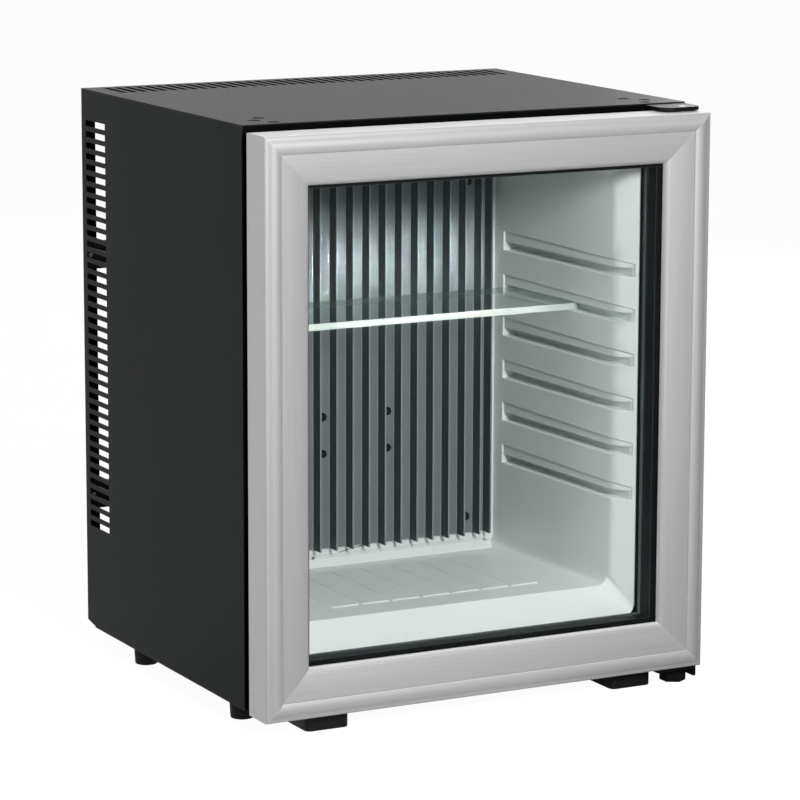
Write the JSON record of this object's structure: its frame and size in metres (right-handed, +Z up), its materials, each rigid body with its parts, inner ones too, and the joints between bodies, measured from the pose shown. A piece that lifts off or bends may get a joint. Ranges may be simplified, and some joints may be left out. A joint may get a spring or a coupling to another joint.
{
  "type": "minibar fridge",
  "caption": "Free-standing minibar fridge: black sheet cabinet, hinged aluminium-framed double-glazed door, glass shelf, finned cold plate and a rear absorption cooling unit.",
  "frame": {"origin": "on the floor under the middle of the fridge, at the middle of its width and depth", "axes": "+X to the right of the door, +Y from the door to the back, +Z up"},
  "size_m": [0.4004, 0.36, 0.48],
  "materials": {
    "cabinet_paint": "satin black powder coat",
    "collar_black": "matt black",
    "liner_plastic": "smooth pale grey",
    "foam": "closed-cell foam",
    "rear_steel": "galvanised sheet",
    "cold_aluminium": "extruded, satin",
    "frame_aluminium": "satin anodised",
    "glazing": "clear float glass",
    "shelf_glass": "clear, polished edges",
    "spacer_black": "matt black",
    "gasket_rubber": "soft black",
    "foot_rubber": "moulded black",
    "hinge_steel": "black painted steel",
    "screw_black": "black oxide",
    "screw_steel": "zinc plated",
    "unit_paint": "black stove enamel",
    "magnet": "bonded ferrite",
    "box_plastic": "matt black",
    "bush_plastic": "white",
    "copper_line": "drawn copper"
  },
  "bodies": {
    "cabinet": {"side_panel_left": "cabinet_paint", "side_panel_right": "cabinet_paint", "top_panel": "cabinet_paint", "base_panel": "cabinet_paint", "front_collar": "collar_black", "inner_liner": "liner_plastic", "insulation_foam": "foam", "rear_wall": "rear_steel", "cold_plate": "cold_aluminium", "cold_plate_screws": "screw_black", "drip_gutter": "liner_plastic", "drain_tube": "liner_plastic", "round_feet": "foot_rubber", "stabiliser_blocks": "box_plastic", "base_screws": "screw_steel", "hinge_plate_upper": "hinge_steel", "hinge_pins": "screw_steel", "hinge_screws": "screw_black", "hole_plugs": "screw_black", "hinge_bracket_lower": "hinge_steel", "levelling_nut": "hinge_steel", "evaporator_block": "cold_aluminium", "evaporator_plug": "foam", "evaporator_return_tube": "unit_paint", "absorber_tank": "unit_paint", "absorber_coil": "unit_paint", "condenser_tube": "unit_paint", "condenser_fins": "unit_paint", "boiler_tube": "unit_paint", "boiler_jacket": "rear_steel", "boiler_wool": "foam", "heater_cartridge": "screw_steel", "heater_lead": "gasket_rubber", "lead_clips": "box_plastic", "heat_exchanger": "unit_paint", "evaporation_cup": "box_plastic", "unit_bars": "unit_paint", "unit_bar_screws": "screw_steel", "control_box": "box_plastic", "control_box_lid": "box_plastic", "thermostat": "box_plastic", "mains_gland": "box_plastic", "sensor_line": "copper_line"},
    "door": {"door_stile_left": "frame_aluminium", "door_stile_right": "frame_aluminium", "door_rail_top": "frame_aluminium", "door_rail_bottom": "frame_aluminium", "corner_keys": "bush_plastic", "outer_glass": "glazing", "inner_glass": "glazing", "glazing_spacer": "spacer_black", "glazing_seal": "spacer_black", "door_inner_frame": "collar_black", "door_gasket": "gasket_rubber", "magnet_strips": "magnet", "hinge_bushes": "bush_plastic", "door_side_plug": "screw_black"},
    "shelf": {"glass_shelf": "shelf_glass"},
    "knob": {"thermostat_knob": "box_plastic"}
  },
  "joints": [
    {"name": "door_hinge", "type": "hinge", "parent": "cabinet", "child": "door", "pos_m": [0.184, -0.1595, 0.2448], "axis": [0, 0, 1], "range_deg": [0, 105]},
    {"name": "shelf_slide", "type": "slide", "parent": "cabinet", "child": "shelf", "axis": [0, -1, 0], "range_m": [0, 0.07]},
    {"name": "thermostat_turn", "type": "hinge", "parent": "cabinet", "child": "knob", "pos_m": [-0.124, 0.165, 0.092], "axis": [0, 1, 0], "range_deg": [0, 270]}
  ]
}
